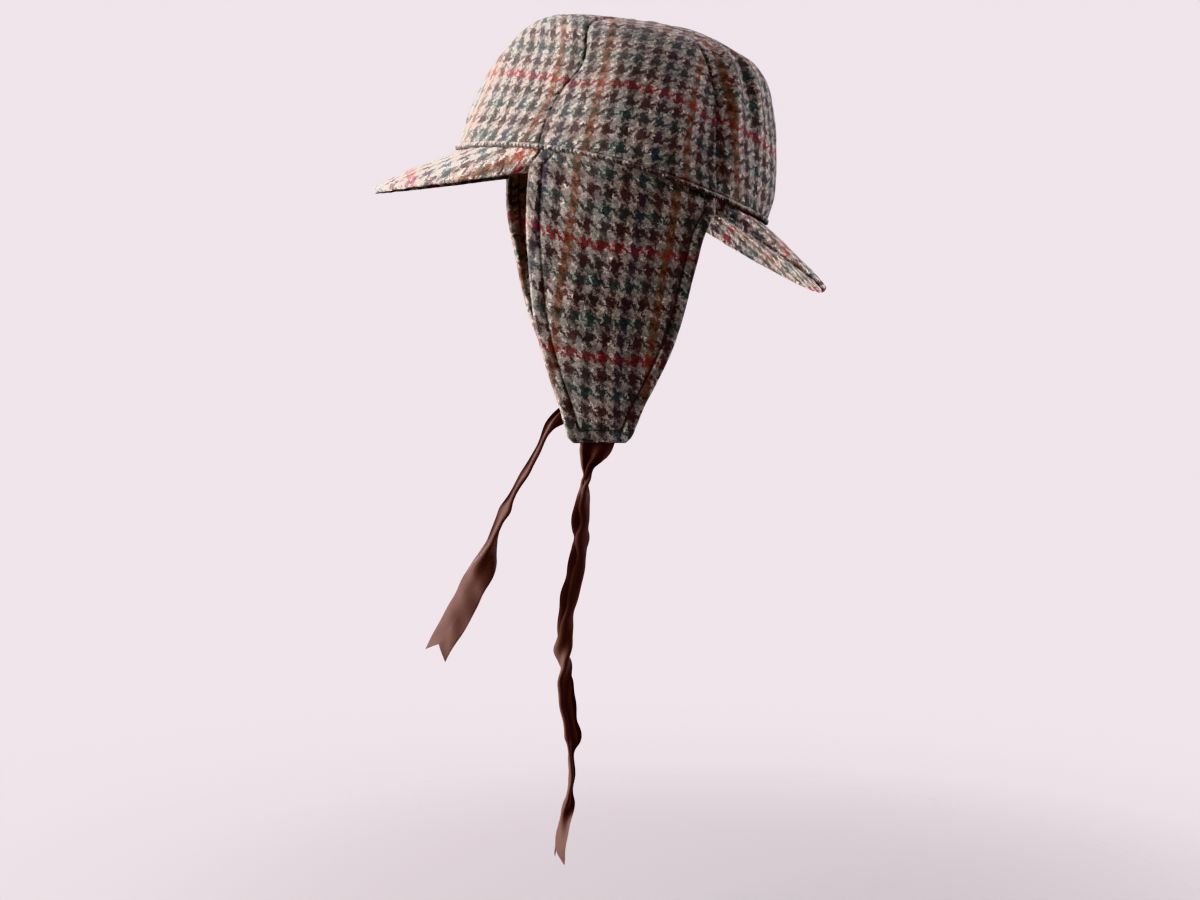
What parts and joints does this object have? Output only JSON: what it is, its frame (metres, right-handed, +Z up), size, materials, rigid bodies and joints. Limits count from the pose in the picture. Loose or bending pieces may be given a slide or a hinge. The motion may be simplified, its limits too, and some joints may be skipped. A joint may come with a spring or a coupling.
{
  "type": "deerstalker hat",
  "caption": "Checked tweed deerstalker hat: panelled crown, front and back peaks, ear flaps hanging down and ribbon ties.",
  "frame": {"origin": "centre of the head opening, on the level of the hem at the centre front and back before the hat is tipped back, where the head holds the hat", "axes": "+Z up as worn, -Y the way the wearer faces, +X the wearer's left"},
  "size_m": [0.1716, 0.2934, 0.5345],
  "materials": {
    "tweed": "rough woven wool in a houndstooth check",
    "ribbon": "satin ribbon"
  },
  "bodies": {
    "root": {"crown_panel_front_left": "tweed", "crown_panel_front_right": "tweed", "crown_panel_side_left": "tweed", "crown_panel_side_right": "tweed", "crown_panel_back_left": "tweed", "crown_panel_back_right": "tweed", "front_peak": "tweed", "back_peak": "tweed", "ear_flap_left": "tweed", "ear_flap_right": "tweed", "tie_left": "ribbon", "tie_right": "ribbon"}
  },
  "joints": []
}
